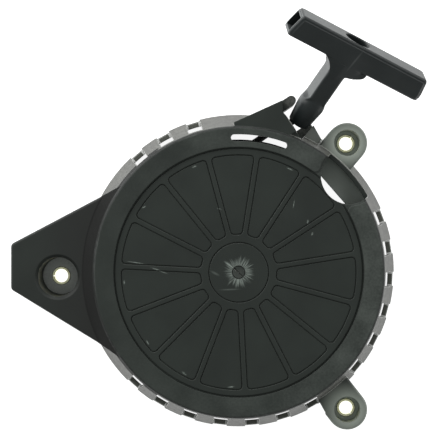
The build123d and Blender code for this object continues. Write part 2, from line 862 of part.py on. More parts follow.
for number in (1, 2):
    half_turn = Location((0, 0, 0), (0, 0, 180 * (number - 1)))
    with BuildPart() as pawl:
        with BuildSketch(Plane.XY.offset(pawl_bottom)):
            with Locations(about_pivot(0, 0)):
                Circle(pawl_eye_radius)
            with Locations(about_pivot(pawl_length, pawl_rest_angle)):
                Circle(pawl_tip_width / 2)
            make_hull()
            with Locations(about_pivot(0, 0)):
                Circle(pawl_pin_radius + running_clearance, mode=Mode.SUBTRACT)
        extrude(amount=pawl_top - pawl_bottom)
        with BuildSketch(Plane.XY.offset(guide_bottom + follower_end_gap)):
            with Locations(about_pivot(follower_arm, pawl_rest_angle + follower_lag)):
                Circle(follower_radius)
        extrude(amount=pawl_bottom - guide_bottom - follower_end_gap)
    placed_pawl = pawl.part.moved(half_turn)
    placed_pawl.label = f"pawl_{number}"
    export_step(placed_pawl, f"parts/pawl_{number}.step")

    with BuildPart() as pawl_spring:
        with BuildLine():
            coil = Helix(
                pitch=pawl_spring_height / 2,
                height=pawl_spring_height - pawl_spring_wire / 2,
                radius=pawl_spring_radius,
                center=(pawl_circle_radius, 0, pulley_bottom + pawl_spring_wire / 2 + pawl_spring_lift),
            )
        with BuildSketch(coil ^ 0):
            Circle(pawl_spring_wire / 2)
        sweep(path=coil, is_frenet=True)
    placed_spring = pawl_spring.part.moved(half_turn)
    placed_spring.label = f"pawl_spring_{number}"
    export_step(placed_spring, f"parts/pawl_spring_{number}.step")


# ---------------------------------------------------------------- guide plate and friction spring
def follower_in_guide(share):
    """The follower pin's centre seen from the guide plate, at a share of the swing."""
    x, y = about_pivot(follower_arm, pawl_rest_angle + follower_lag + share * pawl_swing)
    return along(hypot(x, y), degrees(atan2(y, x)) - share * guide_swing)[:2]


with BuildPart() as guide_plate:
    with BuildSketch(Plane.XY.offset(guide_bottom)):
        Circle(guide_radius)
        Circle(shoulder_radius + guide_clearance, mode=Mode.SUBTRACT)
        slot_curve = ThreePointArc(
            follower_in_guide(0), follower_in_guide(0.5), follower_in_guide(1), mode=Mode.PRIVATE
        )
        for slot_turn in (0, 180):
            with Locations(Location((0, 0, 0), (0, 0, slot_turn))):
                SlotArc(
                    slot_curve,
                    2 * (follower_radius + guide_slot_clearance),
                    mode=Mode.SUBTRACT,
                )
    extrude(amount=guide_thickness)
    with BuildSketch(Plane.XY.offset(guide_top)):
        with Locations(along(pip_reach, pip_angle), along(pip_reach, -pip_angle)):
            Circle(pip_radius)
    extrude(amount=friction_wire)
guide_plate.part.label = "guide_plate"
export_step(guide_plate.part, "parts/guide_plate.step")

with BuildPart() as friction_spring:
    wire_height = guide_top + friction_wire / 2
    ring_reach = shoulder_radius + guide_clearance + friction_wire / 2
    with BuildLine(Plane.XY.offset(wire_height)):
        ring_curve = CenterArc((0, 0), ring_reach, friction_gap_angle, 360 - 2 * friction_gap_angle)
    with BuildSketch(ring_curve ^ 0):
        Circle(friction_wire / 2)
    sweep(path=ring_curve)
    for leg_angle in (friction_gap_angle, -friction_gap_angle):
        with Locations(along(ring_reach, leg_angle, wire_height)):
            Sphere(friction_wire / 2)
        leg_plane = Plane(origin=along(ring_reach, leg_angle, wire_height), z_dir=along(1, leg_angle))
        with BuildSketch(leg_plane):
            Circle(friction_wire / 2)
        extrude(amount=friction_leg)
friction_spring.part.label = "friction_spring"
export_step(friction_spring.part, "parts/friction_spring.step")


# ---------------------------------------------------------------- washer and centre screw
with BuildPart() as thrust_washer:
    with BuildSketch(Plane.XY.offset(washer_bottom)):
        Circle(washer_radius)
        Circle(screw_radius + screw_clearance, mode=Mode.SUBTRACT)
    extrude(amount=washer_thickness)
thrust_washer.part.label = "thrust_washer"
export_step(thrust_washer.part, "parts/thrust_washer.step")

screw_head_top = guide_bottom - screw_head_gap
screw_tip = disc_top - screw_tip_drop
with BuildPart() as centre_screw:
    with BuildSketch(Plane.XY.offset(screw_head_top - screw_head_height)):
        Circle(screw_head_radius)
    extrude(amount=screw_head_height)
    chamfer(centre_screw.edges().sort_by(Axis.Z)[0], screw_head_edge)
    with BuildSketch(Plane.XY.offset(screw_head_top)):
        Circle(shoulder_radius)
    extrude(amount=washer_bottom - screw_head_top)
    with BuildSketch(Plane.XY.offset(washer_bottom)):
        Circle(screw_radius)
    extrude(amount=screw_tip - washer_bottom)
    chamfer(centre_screw.edges().sort_by(Axis.Z)[-1], screw_tip_edge)
    with BuildSketch(Plane.XY.offset(screw_head_top - screw_head_height)):
        RegularPolygon(screw_head_radius / 2, 6)
    extrude(amount=screw_head_height * screw_socket_share, mode=Mode.SUBTRACT)
    with BuildSketch(Plane.XY.offset(screw_tip)):
        with Locations(Location((0, 0, 0), (0, 0, screw_slot_angle))):
            Rectangle(2 * screw_head_radius, screw_slot_width)
    extrude(amount=-screw_slot_width, mode=Mode.SUBTRACT)
centre_screw.part.label = "centre_screw"
export_step(centre_screw.part, "parts/centre_screw.step")


# ---------------------------------------------------------------- handle
# Sketched across the stem, and on a plane through the stem and the bar.
with BuildPart() as handle_grip:
    with BuildSketch(bar_plane):
        bar_inner = handle_length - bar_thickness
        with BuildLine():
            Polyline(
                (-bar_offset - bar_inner_length / 2, bar_inner),
                (-bar_offset + bar_inner_length / 2, bar_inner),
                (-bar_offset + bar_outer_length / 2, handle_length),
                (-bar_offset - bar_outer_length / 2, handle_length),
                close=True,
            )
        make_face()
    extrude(amount=bar_depth / 2, both=True)
    chamfer(handle_grip.edges(), bar_edge)
    with BuildSketch(bar_plane):
        with BuildLine():
            Polyline(
                (-stem_width / 2, nose_length - 2),
                (stem_width / 2, nose_length - 2),
                (stem_width / 2, bar_inner - web_flare),
            )
            RadiusArc(
                (stem_width / 2, bar_inner - web_flare),
                (stem_width / 2 + web_flare, bar_inner),
                web_flare,
            )
            Polyline(
                (stem_width / 2 + web_flare, bar_inner),
                (stem_width / 2 + web_flare, bar_inner + 1),
                (-stem_width / 2 - web_flare, bar_inner + 1),
                (-stem_width / 2 - web_flare, bar_inner),
            )
            RadiusArc(
                (-stem_width / 2 - web_flare, bar_inner),
                (-stem_width / 2, bar_inner - web_flare),
                web_flare,
            )
            Line((-stem_width / 2, bar_inner - web_flare), (-stem_width / 2, nose_length - 2))
        make_face()
    extrude(amount=stem_depth / 2, both=True)
    with BuildSketch(bar_plane):
        with BuildLine():
            Polyline(
                (0, 0),
                (nose_tip_radius, 0),
                (nose_radius, nose_length - 3),
                (nose_radius - 0.6, nose_length - 1),
                (nose_radius - 2.6, nose_length + 1),
                (0, nose_length + 1),
                (0, 0),
            )
        make_face()
    revolve(axis=stem_axis)
    # Bore for the rope, room for the knot, and the open ends of the hollow bar.
    with BuildSketch(bar_plane):
        with BuildLine():
            Polyline(
                (0, 0),
                (nose_bore_radius, 0),
                (stem_bore_radius, nose_length),
                (stem_bore_radius, handle_length - knot_room_depth),
                (0, handle_length - knot_room_depth),
                (0, 0),
            )
        make_face()
    revolve(axis=stem_axis, mode=Mode.SUBTRACT)
    with BuildSketch(stem_plane.offset(handle_length)):
        Ellipse(knot_room_length / 2, knot_room_width / 2)
    extrude(amount=-knot_room_depth, mode=Mode.SUBTRACT)
    for side in (-1, 1):
        end_x = -bar_offset + side * bar_inner_length / 2
        end_plane = Plane(
            origin=bar_plane.from_local_coords((end_x, handle_length - bar_thickness / 2)),
            x_dir=stem_direction,
            z_dir=side * bar_direction,
        )
        with BuildSketch(end_plane):
            RectangleRounded(
                bar_thickness - 2 * bar_pocket_wall,
                bar_depth - 2 * bar_pocket_wall,
                bar_edge,
            )
        extrude(amount=-bar_pocket_depth, mode=Mode.SUBTRACT)
handle_grip.part.label = "handle_grip"
export_step(handle_grip.part, "parts/handle_grip.step")

with BuildPart() as knot_washer:
    with BuildSketch(stem_plane.offset(handle_length - knot_room_depth)):
        Circle(knot_washer_radius)
        Circle(rope_radius_section + knot_washer_clearance, mode=Mode.SUBTRACT)
    extrude(amount=knot_washer_thickness)
knot_washer.part.label = "knot_washer"
export_step(knot_washer.part, "parts/knot_washer.step")

with BuildPart(stem_plane.offset(handle_length - knot_room_depth + knot_washer_thickness)) as handle_knot:
    with Locations((0, 0, knot_radius)):
        Sphere(knot_radius)
handle_knot.part.label = "handle_knot"
export_step(handle_knot.part, "parts/handle_knot.step")
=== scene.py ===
# %% [markdown]
# # A recoil starter
# A recoil starter is the pull-cord unit on the end of a small engine. Its black moulded housing
# carries a rope drum, a flat rewind spring, two pawls and a T-handle on the end of the rope.
# The engineering model already gives the true shapes and places, so it is loaded first. What is added here is
# finish: a smooth moulded handle, a braided rope, tied knots, and materials with grain, dust, scratches and worn
# edges, with some painted light and shade on the housing, the grip and the rope.

import math

import bpy
import numpy as np
from mathutils import Matrix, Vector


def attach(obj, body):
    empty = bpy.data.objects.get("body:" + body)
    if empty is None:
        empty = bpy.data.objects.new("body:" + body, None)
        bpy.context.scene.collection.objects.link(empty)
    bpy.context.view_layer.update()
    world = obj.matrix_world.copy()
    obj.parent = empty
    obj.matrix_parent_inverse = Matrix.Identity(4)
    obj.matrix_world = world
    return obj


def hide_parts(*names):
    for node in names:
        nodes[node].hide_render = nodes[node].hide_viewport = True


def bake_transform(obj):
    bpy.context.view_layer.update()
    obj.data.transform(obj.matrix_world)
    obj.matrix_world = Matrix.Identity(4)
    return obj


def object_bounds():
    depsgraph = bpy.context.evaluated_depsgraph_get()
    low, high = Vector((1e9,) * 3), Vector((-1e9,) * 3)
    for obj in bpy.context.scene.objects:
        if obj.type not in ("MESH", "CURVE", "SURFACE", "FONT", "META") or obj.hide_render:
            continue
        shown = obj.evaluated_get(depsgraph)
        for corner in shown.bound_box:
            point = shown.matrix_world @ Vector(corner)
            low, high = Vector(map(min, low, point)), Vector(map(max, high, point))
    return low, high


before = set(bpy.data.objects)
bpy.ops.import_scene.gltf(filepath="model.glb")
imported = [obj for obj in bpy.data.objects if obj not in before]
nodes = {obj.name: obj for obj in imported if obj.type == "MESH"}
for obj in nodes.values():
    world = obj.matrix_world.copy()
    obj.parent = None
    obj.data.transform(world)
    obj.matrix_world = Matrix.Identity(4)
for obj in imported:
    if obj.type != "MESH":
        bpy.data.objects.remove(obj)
cad_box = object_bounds()
print("pieces in the frame:", len(nodes))

# %% [markdown]
# ## Camera and studio
# The starter lies on its open side and is seen from straight above, so every ring on its face
# stays a circle. A long lens from 0.84 m keeps the handle, which stands higher than the rest,
# close to its true size. The floor is a light table: it glows a little, as a backlit sheet does,
# so steep walls mirror a pale floor at a glancing angle while flat faces stay dark.

# %% Camera
LENS, SENSOR = 131.35, 36.0
CAMERA_PLACE = (-0.00935, 0.0252, 0.840)

camera_data = bpy.data.cameras.new("camera")
camera_data.sensor_width = SENSOR
camera_data.lens = LENS
camera_data.clip_end = 20.0
camera = bpy.data.objects.new("camera", camera_data)
camera.location = CAMERA_PLACE
bpy.context.collection.objects.link(camera)
bpy.context.scene.camera = camera
bpy.context.scene.view_settings.view_transform = "Standard"
print("camera height:", camera.location.z)

# %% [markdown]
# ## Materials from expressions
# A finish is easiest to read as a formula: dust times noise, one minus a mask. A Wire holds one
# socket of a material, and adding or multiplying wires adds the Math nodes. A Finish owns the
# material and adds any other node from its type, its settings and its sockets.


# %% Wires and finishes
class Wire:
    """One value in a material. Python's signs add Math nodes to the same material."""

    def __init__(self, finish, socket):
        self.finish = finish
        self.socket = socket

    def math(self, operation, *values):
        sockets = {i: v for i, v in enumerate(values)}
        return self.finish.node("ShaderNodeMath", {"operation": operation}, sockets)["Value"]

    def __add__(self, other):
        return self.math("ADD", self, other)

    __radd__ = __add__

    def __sub__(self, other):
        return self.math("SUBTRACT", self, other)

    def __rsub__(self, other):
        return self.math("SUBTRACT", other, self)

    def __mul__(self, other):
        return self.math("MULTIPLY", self, other)

    __rmul__ = __mul__

    def __truediv__(self, other):
        return self.math("DIVIDE", self, other)

    def __rtruediv__(self, other):
        return self.math("DIVIDE", other, self)

    def root(self):
        return self.math("SQRT", self)

    def size(self):
        return self.math("ABSOLUTE", self)

    def sine(self):
        return self.math("SINE", self)

    def fraction(self):
        return self.math("FRACT", self)

    def angle_from(self, across):
        """The angle whose tangent is this over across, from -pi to pi."""
        return self.math("ARCTAN2", self, across)

    def larger(self, other):
        return self.math("MAXIMUM", self, other)

    def step(self, low, high):
        """0 below low, 1 above high, and a smooth rise between."""
        settings = {"interpolation_type": "SMOOTHSTEP"}
        sockets = {"Value": self, "From Min": low, "From Max": high, "To Min": 0.0, "To Max": 1.0}
        return self.finish.node("ShaderNodeMapRange", settings, sockets)["Result"]


class Added:
    """A node that was added. Indexing it by an output's name gives that output as a Wire."""

    def __init__(self, finish, node):
        self.finish = finish
        self.node = node

    def __getitem__(self, key):
        return Wire(self.finish, self.node.outputs[key])


class Finish:
    """A material made one node at a time."""

    def __init__(self, name):
        self.material = bpy.data.materials.new(name)
        self.material.use_nodes = True
        self.tree = self.material.node_tree
        self.tree.nodes.clear()
        self.place = self.node("ShaderNodeTexCoord")["Object"]

    def node(self, kind, settings=None, sockets=None):
        """Adds a node: first its settings, then the values or wires of its sockets."""
        made = self.tree.nodes.new(kind)
        for key, value in (settings or {}).items():
            setattr(made, key, value)
        for key, value in (sockets or {}).items():
            if isinstance(value, Wire):
                self.tree.links.new(value.socket, made.inputs[key])
            else:
                made.inputs[key].default_value = value
        return Added(self, made)

    def noise(self, scale, detail=3.0, where=None, roughness=0.55):
        """Cloudy noise from 0 to 1, with its features about one metre over scale across."""
        sockets = {"Vector": where or self.place, "Scale": scale}
        sockets.update({"Detail": detail, "Roughness": roughness})
        return self.node("ShaderNodeTexNoise", {"noise_dimensions": "3D"}, sockets)["Fac"]

    def mix(self, share, first, second):
        """A colour between two, by a share from 0 to 1."""
        settings = {"data_type": "RGBA", "clamp_factor": True}
        sockets = {0: share}
        sockets[6] = first if isinstance(first, Wire) else (*first, 1.0)
        sockets[7] = second if isinstance(second, Wire) else (*second, 1.0)
        return self.node("ShaderNodeMix", settings, sockets)[2]

    def parts(self, vector):
        """The three numbers of a vector."""
        split = self.node("ShaderNodeSeparateXYZ", None, {"Vector": vector})
        return split["X"], split["Y"], split["Z"]

    def joined(self, x, y, z):
        """A vector from three numbers."""
        return self.node("ShaderNodeCombineXYZ", None, {"X": x, "Y": y, "Z": z})["Vector"]

    def spot(self, centre, angle, half_length, half_width):
        """1 at the middle of a turned ellipse on a flat face, falling to 0 at its rim."""
        sockets = {
            "Vector": self.place,
            "Location": (*centre, 0.0),
            "Rotation": (0.0, 0.0, math.radians(angle)),
            "Scale": (half_length, half_width, 1.0),
        }
        local = self.node("ShaderNodeMapping", {"vector_type": "TEXTURE"}, sockets)["Vector"]
        far = self.node("ShaderNodeVectorMath", {"operation": "LENGTH"}, {0: local})["Value"]
        return (1.0 - far).step(0.0, 0.9)

    def edges(self, radius, low, high):
        """The rounded normal, and a mask that is 1 along sharp edges of the shape."""
        rounded = self.node("ShaderNodeBevel", {"samples": 4}, {"Radius": radius})["Normal"]
        true = self.node("ShaderNodeNewGeometry")["Normal"]
        return rounded, (1.0 - self.dot(rounded, true)).step(low, high)

    def dot(self, first, second):
        """How far one direction runs along another."""
        return self.node("ShaderNodeVectorMath", {"operation": "DOT_PRODUCT"}, {0: first, 1: second})["Value"]

    def bump(self, height, strength, distance, normal=None):
        """A normal tilted by a height."""
        sockets = {"Strength": strength, "Distance": distance, "Height": height}
        if normal is not None:
            sockets["Normal"] = normal
        return self.node("ShaderNodeBump", None, sockets)["Normal"]

    def surface(self, **sockets):
        """The surface shader and the output. Fixed values are set on the shader's own sockets."""
        named = {key.replace("_", " "): value for key, value in sockets.items()}
        shader = self.node("ShaderNodeBsdfPrincipled", None, named)["BSDF"]
        self.node("ShaderNodeOutputMaterial", None, {"Surface": shader})
        return self.material


def paint(material, *names):
    """Gives CAD nodes a finish."""
    for name in names:
        data = nodes[name].data
        data.materials.clear()
        data.materials.append(material)


# %% The floor
FLOOR_HALF, FLOOR_GAP = 4.0, 0.0004
corners = np.array([(-1, -1, 0), (1, -1, 0), (1, 1, 0), (-1, 1, 0)]) * FLOOR_HALF

floor_mesh = bpy.data.meshes.new("floor")
floor_mesh.from_pydata(corners.tolist(), [], [(0, 1, 2, 3)])
floor = bpy.data.objects.new("floor", floor_mesh)
floor.location = (0, 0, float(cad_box[0][2]) - FLOOR_GAP)
bpy.context.collection.objects.link(floor)
sheet = Finish("pale_floor")
sheet_tone = sheet.mix(sheet.noise(3.0), (0.86, 0.86, 0.86), (0.88, 0.88, 0.88))
floor_mesh.materials.append(
    sheet.surface(
        Base_Color=sheet_tone,
        Roughness=0.9,
        Emission_Color=(1.0, 1.0, 1.0, 1.0),
        Emission_Strength=0.9,
    )
)
print("floor half width:", FLOOR_HALF)

# %% The room's light and three soft boxes
ROOM_TINT, ROOM_STRENGTH = (0.97, 1.0, 0.98, 1.0), 0.36
SOFT_BOXES = {
    "soft_left": ((-1.1, 0.9, 0.75), 0.9, 15.0),
    "soft_right": ((1.2, 0.5, 0.6), 0.9, 4.0),
    "soft_back": ((0.1, 1.4, 0.5), 0.8, 6.0),
}

world = bpy.data.worlds.new("studio")
world.use_nodes = True
room = world.node_tree.nodes["Background"]
room.inputs["Color"].default_value = ROOM_TINT
room.inputs["Strength"].default_value = ROOM_STRENGTH
bpy.context.scene.world = world


def soft_light(name, place, size, power):
    """A square soft box that faces the starter."""
    data = bpy.data.lights.new(name, "AREA")
    data.shape = "SQUARE"
    data.size = size
    data.energy = power
    light = bpy.data.objects.new(name, data)
    light.location = place
    away = -light.location.normalized()
    light.rotation_euler = away.to_track_quat("-Z", "Y").to_euler()
    bpy.context.collection.objects.link(light)


for name, (place, size, power) in SOFT_BOXES.items():
    soft_light(name, place, size, power)

# %% [markdown]
# ## The housing's plastic
# The housing is glass-filled nylon, moulded black. Years of dust leave it a dull green grey, paler on the rim
# and the two lugs, which are handled and wiped; the lugs are also painted paler for the light on their tops.
# Painted light brightens the flared wall, the window sills, the shaded recesses and one cheek of the rope's
# exit, and a painted shadow line darkens the crease round the ring. Tools and stones leave short pale scuffs on
# the panels, and the screw's washer has left a burst of radial scratches round the tip.
# All of these are masks worked out from the place on the piece, mixed over one dark colour.

# %% Scuffs and the scratched burst round the screw
SCUFFS = [
    ((-0.0510, 0.0048), -9.0, 0.0065, 0.00035),
    ((-0.0398, 0.0009), -21.0, 0.0058, 0.00050),
    ((-0.0222, 0.0529), 25.0, 0.0016, 0.00060),
    ((-0.0474, 0.0327), 30.0, 0.0014, 0.00050),
    ((-0.0573, -0.0050), 85.0, 0.0013, 0.00060),
    ((-0.0456, -0.0351), -60.0, 0.0018, 0.00055),
    ((-0.0273, -0.0506), -38.0, 0.0018, 0.00060),
    ((-0.0038, -0.0574), 5.0, 0.0022, 0.00055),
    ((0.0256, 0.0517), -25.0, 0.0022, 0.00050),
    ((0.0346, 0.0254), 80.0, 0.0014, 0.00060),
    ((0.0368, 0.0192), 70.0, 0.0012, 0.00060),
    ((0.0276, 0.0342), 80.0, 0.0030, 0.00030),
    ((-0.0096, 0.0317), -20.0, 0.0016, 0.00050),
]
FAINT_MARKS = [((-0.0118, -0.0005), -27.0, 0.0034, 0.0009), ((-0.0045, -0.0086), 2.0, 0.0070, 0.0006)]
FAINTNESS = 0.22
TIP_RADIUS = 0.0032


def scuffed(f):
    """The largest of all scuffs' spots, broken up by fine noise, and two faint marks near the hub."""
    total = f.spot(*SCUFFS[0])
    for scuff in SCUFFS[1:]:
        total = total.larger(f.spot(*scuff))
    faint = f.spot(*FAINT_MARKS[0]) + f.spot(*FAINT_MARKS[1])
    return total * f.noise(1800.0, 2.0).step(0.3, 0.62) + faint * FAINTNESS


def burst(f):
    """Radial scratches: noise read on a circle of directions, cut off at a reach that also varies."""
    x, y, _ = f.parts(f.place)
    r = (x * x + y * y).root() + 0.00001
    round_the_tip = f.joined(x / r, y / r, r * 6.0)
    streak = f.noise(21.0, 4.0, round_the_tip, 0.75).step(0.38, 0.64)
    reach = f.noise(5.5, 2.0, round_the_tip, 0.8) * 0.0105 + 0.0028
    return streak * (reach - r).step(0.0, 0.0036) * (r - TIP_RADIUS).step(0.0, 0.0004)


# %% Where the housing's features lie, in metres
LUGS = [(0.0554, 0.0655), (0.0554, -0.0703)]
NOTCH, WING_WELL = (0.0554, 0.0483), (-0.0910, -0.0024)
LIP, CHEEK = (0.0267, 0.0867), (0.0345, 0.0680)
DISC_RADIUS, RING_RADIUS, BASE_RADIUS = 0.0627, 0.0730, 0.0808
RIM_RADIUS, ROOT_RADIUS, SILL_RADIUS = 0.0727, 0.0792, 0.0782
FACE_HEIGHT, WING_HEIGHT, SEAT_HEIGHT, SILL_HEIGHT = 0.0300, 0.0240, 0.0075, 0.0060
WING_START, RIGHT_START = -0.040, 0.045
WALL_LEAN = (BASE_RADIUS - RING_RADIUS) / FACE_HEIGHT
WINDOW_PITCH, WINDOW_PHASE, RIGHT_PHASE = (math.radians(turn) for turn in (12.0, 11.15, 2.15))
WINDOW_RADIUS, WINDOW_HALF = 0.079, 0.0026
PLAIN_RADIUS, PLAIN_REACH = 0.0765, 0.0050
SOFT = 0.0006
print("the wall leans in by:", round(WALL_LEAN, 3))


# %% Masks that the housing's steps share
class HousingFinish(Finish):
    """The housing's material, with its place, its noise and the masks that several steps use."""

    def __init__(self):
        super().__init__("housing_plastic")
        self.x, self.y, self.z = self.parts(self.place)
        self.r = (self.x * self.x + self.y * self.y).root()
        self.cloud = self.noise(38.0, 5.0)
        self.fine = self.noise(900.0, 3.0)
        self.face = (self.z - 0.0280).step(0.0, SOFT)
        normal = self.node("ShaderNodeNewGeometry")["Normal"]
        self.faces_up = self.parts(normal)[2].step(0.7, 0.9)

    def below(self, top, soft=SOFT):
        """1 on everything lower than a height."""
        return (top - self.z).step(0.0, soft)

    def round_spot(self, centre, radius):
        """A spot that is as wide as it is long."""
        return self.spot(centre, 0.0, radius, radius)


# %% The ring, the flared wall and the wing
def ring_and_wall(f, colour):
    """Bloom on the ring, stronger to the right, a painted shadow line in the crease at its rim, and the flared
    wall, which is where r + z * lean stays at the base's radius. The wall's pale streaky colour is a painted
    reflection of the floor over the wall's own streaks."""
    inside_ring = (RING_RADIUS + 0.0003 - f.r).step(0.0, 0.0004)
    ring = (f.r - DISC_RADIUS).step(0.0, 0.0005) * inside_ring * f.face
    bloom = ring * (f.noise(55.0, 6.0) * 0.8 + f.fine * 0.35).step(0.30, 0.95)
    colour = f.mix(bloom * (f.x * 5.0 + 0.48), colour, (0.115, 0.130, 0.117))
    # Painted shade: a near-black line in the crease round the ring's rim, where shadow falls.
    rim_shadow = (0.0006 - (f.r - RIM_RADIUS).size()).step(0.0, 0.0004) * f.face
    colour = f.mix(rim_shadow * 0.8, colour, (0.0050, 0.0060, 0.0055))

    off_wall = (f.r + f.z * WALL_LEAN - BASE_RADIUS).size()
    wall = (0.0004 - off_wall).step(0.0, 0.0001) * f.below(FACE_HEIGHT - 0.0012, 0.0004)
    streak = f.noise(420.0, 4.0, f.joined(f.x, f.y, f.z * 0.35))
    streak_share = (streak * 0.7 + f.cloud * 0.3).step(0.3, 0.7)
    # Painted reflection: the flared wall is the same black plastic, painted pale grey for the floor's glancing
    # reflection, with its own streaks mixed in.
    wall_streaks_and_reflection = f.mix(streak_share, (0.057, 0.058, 0.052), (0.106, 0.107, 0.096))
    return f.mix(wall, colour, wall_streaks_and_reflection), wall


def wing_tones(f, colour):
    """The wing darkens towards the ring. Its root is dull, and no bright edge shows there."""
    side = (f.z - WING_HEIGHT).step(0.0, SOFT) * (WING_START - f.x).step(0.0, 0.001)
    wing = (f.r - RING_RADIUS).step(0.0, 0.0004) * side
    root = wing * (ROOT_RADIUS - f.r).step(0.0, 0.0008)
    colour = f.mix(wing * (f.x * 20.0 + 2.3), colour, (0.0085, 0.0090, 0.0080))
    colour = f.mix(root, colour, (0.0072, 0.0077, 0.0069))
    plain_rim = side * (PLAIN_REACH - (f.r - PLAIN_RADIUS).size()).step(0.0, 0.0004)
    return colour, root, plain_rim


# %% Dust, painted light and window sills
def dust_and_painted_light(f, colour):
    """Paler places, each a round spot cut off above a height: dust and painted light on the lugs and on the
    floors of their seats, painted light on the shaded floors of the notch's shelf and the wing's well, a paler
    spot on the exit's lip, and painted light on the exit's sloping cheek.
    """
    # Dust, and painted light: the lug tops are painted paler for the light that falls on them.
    lugs = (f.round_spot(LUGS[0], 0.0170) + f.round_spot(LUGS[1], 0.0170)) * f.below(0.0170)
    colour = f.mix(lugs * (f.cloud * 0.4 + 0.6), colour, (0.60, 0.66, 0.58))
    # Painted light: the notch's shaded shelf is painted pale grey to stand in for light.
    shelf = f.round_spot(NOTCH, 0.0300) * f.below(0.0120) * f.faces_up
    colour = f.mix(shelf * (f.cloud * 0.3 + 0.7), colour, (0.44, 0.485, 0.445))
    # Painted light: the floor of the wing's deep, shaded well is painted a near-white grey.
    well = f.round_spot(WING_WELL, 0.0300) * f.below(SEAT_HEIGHT) * f.faces_up
    colour = f.mix(well * (f.fine * 0.4 + 0.8), colour, (0.80, 0.83, 0.79))
    # Dust and painted light: the floors of the lug seats are painted pale despite their shade.
    seats = f.round_spot(LUGS[0], 0.0100) + f.round_spot(LUGS[1], 0.0100)
    colour = f.mix(seats * f.below(SEAT_HEIGHT) * f.faces_up, colour, (0.55, 0.58, 0.54))
    lip = f.round_spot(LIP, 0.0060) * f.below(0.0215, 0.0003)
    colour = f.mix(lip * (f.fine.step(0.35, 0.65) * 0.6 + 0.4), colour, (0.105, 0.108, 0.098))
    # Painted light: the exit's sloping cheek is painted paler where light falls on it.
    cheek = f.round_spot(CHEEK, 0.0160) * f.below(0.0190)
    return f.mix(cheek * (f.cloud * 0.5 + 0.5), colour, (0.190, 0.205, 0.185))


def window_sills(f, colour):
    """Painted light on the sills under the windows: a grey far paler than the plastic stands in for light on the
    shaded sills, and the near-white ends are painted highlights on the lit sides of each window. The angle round
    the axis is folded into one window's share: fraction(angle / pitch + 0.5) - 0.5 is 0 in the middle of each
    window."""
    at_height = (0.0003 - (f.z - SILL_HEIGHT).size()).step(0.0, 0.0002)
    at_radius = (0.0017 - (f.r - SILL_RADIUS).size()).step(0.0, 0.0002)
    right_group = (f.x - RIGHT_START).step(0.0, 0.001)
    angle = f.y.angle_from(f.x) - WINDOW_PHASE + right_group * RIGHT_PHASE
    off_middle = ((angle / WINDOW_PITCH + 0.5).fraction() - 0.5).size()
    ends = (off_middle * WINDOW_PITCH * WINDOW_RADIUS - WINDOW_HALF).step(0.0, 0.0003)
    # Painted light: pale grey sills with near-white highlighted ends.
    painted_sill_light = f.mix(ends, (0.110, 0.115, 0.098), (0.95, 0.95, 0.93))
    return f.mix(at_height * at_radius * f.faces_up, colour, painted_sill_light)


# %% The housing's finish
def housing_plastic():
    """A cloudy dark base, the steps above, then scuffs, worn edges, a painted highlight on the flared wall's
    lower edges, roughness and grain.
    """
    f = HousingFinish()
    colour = f.mix(f.cloud.step(0.3, 0.7), (0.0108, 0.0158, 0.0125), (0.0155, 0.0220, 0.0175))
    colour, wall = ring_and_wall(f, colour)
    colour, root, plain_rim = wing_tones(f, colour)
    colour = window_sills(f, dust_and_painted_light(f, colour))
    scratched = (scuffed(f) + burst(f)) * f.face
    colour = f.mix(scratched, colour, (0.26, 0.30, 0.27))
    rounded, edge = f.edges(0.0006, 0.02, 0.22)
    made_paler = edge * (f.fine * 0.5 + 0.25) * (1.0 - plain_rim)
    colour = f.mix(made_paler, colour, (0.085, 0.095, 0.085))
    # Painted highlight: the edges of the flared wall low down, the sides of the windows, are painted near-white
    # as if lit.
    colour = f.mix(edge * wall * f.below(0.0280), colour, (0.74, 0.75, 0.72))
    rough = 0.46 + f.cloud * 0.12 + f.fine * 0.06 + scratched * 0.15 + root * 0.35
    grain = f.noise(3600.0, 3.0) * 0.7 + f.fine * 0.3
    normal = f.bump(grain, 0.32, 0.00006, rounded)
    return f.surface(Base_Color=colour, Roughness=rough, Normal=normal, IOR=1.52)


paint(housing_plastic(), "housing")
print("scuffs on the face:", len(SCUFFS))

# %% [markdown]
# ## The other mouldings
# The handle, the drum and the guide plate are mouldings too, each from its own tool. The handle is glossier and
# bluer, polished by hands. The drum and the guide plate are plain mouldings with paler worn edges.


# %% One recipe for clean mouldings
def moulding(name, dark, light, rough, grain_scale, edge_colour, made_paler=None):
    """Cloudy dark colour, fine grain, and paler worn edges. An optional mask gives faces painted paler; on the
    grip that mask is painted light.
    """
    f = Finish(name)
    cloud = f.noise(60.0, 4.0)
    fine = f.noise(1100.0, 3.0)
    grain = f.noise(grain_scale, 3.0)
    colour = f.mix(cloud.step(0.3, 0.7), dark, light)
    if made_paler is not None:
        # Painted light where the grip's mask is used: its lit faces are painted a paler grey.
        colour = f.mix(made_paler(f) * (cloud * 0.4 + 0.6), colour, (0.13, 0.14, 0.14))
    rounded, edge = f.edges(0.0004, 0.03, 0.3)
    colour = f.mix(edge * fine * 0.7, colour, edge_colour)
    scratch = f.noise(260.0, 2.0, f.joined(*[p * k for p, k in zip(f.parts(f.place), (1.0, 9.0, 3.0))]))
    rough_now = rough + cloud * 0.08 + scratch.step(0.55, 0.75) * 0.10
    normal = f.bump(grain * 0.8 + scratch * 0.2, 0.22, 0.00005, rounded)
    return f.surface(Base_Color=colour, Roughness=rough_now, Normal=normal, IOR=1.5)


PULLEY = ((0.030, 0.030, 0.029), (0.045, 0.045, 0.043), 0.42, 3000.0, (0.12, 0.12, 0.115))
GUIDE = ((0.055, 0.055, 0.052), (0.080, 0.080, 0.076), 0.36, 3400.0, (0.16, 0.16, 0.15))
paint(moulding("pulley_plastic", *PULLEY), "pulley")
paint(moulding("guide_plastic", *GUIDE), "guide_plate")
print("clean mouldings painted: 2")


